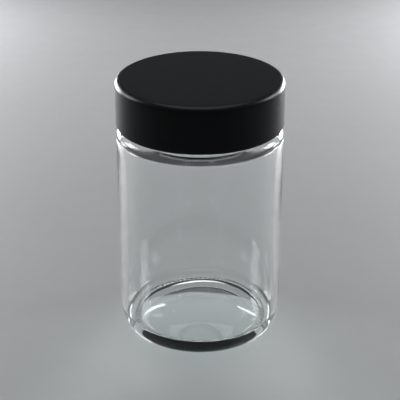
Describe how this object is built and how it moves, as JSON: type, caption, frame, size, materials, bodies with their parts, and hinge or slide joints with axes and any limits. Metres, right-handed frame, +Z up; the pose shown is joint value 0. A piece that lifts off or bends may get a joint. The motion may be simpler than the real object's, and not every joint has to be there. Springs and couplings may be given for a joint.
{
  "type": "screw-lid glass specimen jar",
  "caption": "Straight-sided clear glass jar with a thick pushed-up base, closed by a smooth matte black double-wall screw lid with a soft sealing liner.",
  "frame": {"origin": "middle of the ring that the jar stands on, at the level of the surface under it", "axes": "+Z up along the jar's axis, through the middle of the lid; X and Y are level and alike, since the outside is round"},
  "size_m": [0.073, 0.073, 0.118],
  "materials": {
    "clear_glass": "polished flint glass, faint green in thick edges",
    "black_cover": "fine matte moulded polypropylene",
    "black_insert": "plain moulded polypropylene",
    "liner_foam": "closed-cell polyethylene foam",
    "liner_film": "smooth white film"
  },
  "bodies": {
    "jar": {"glass_jar": "clear_glass"},
    "liner": {"liner_backing": "liner_foam", "liner_facing": "liner_film"},
    "lid": {"lid_shell": "black_cover", "lid_insert": "black_insert"}
  },
  "joints": [
    {"name": "lid_rise", "type": "slide", "parent": "jar", "child": "liner", "axis": [0, 0, 1], "range_m": [0, 0.0178]},
    {"name": "lid_turn", "type": "hinge", "parent": "liner", "child": "lid", "pos_m": [0, 0, 0.1], "axis": [0, 0, 1], "range_deg": [0, 1260]}
  ],
  "couplings": [
    {"joint": "lid_rise", "follows": "lid_turn", "m_per_rad": 0.00080851}
  ]
}
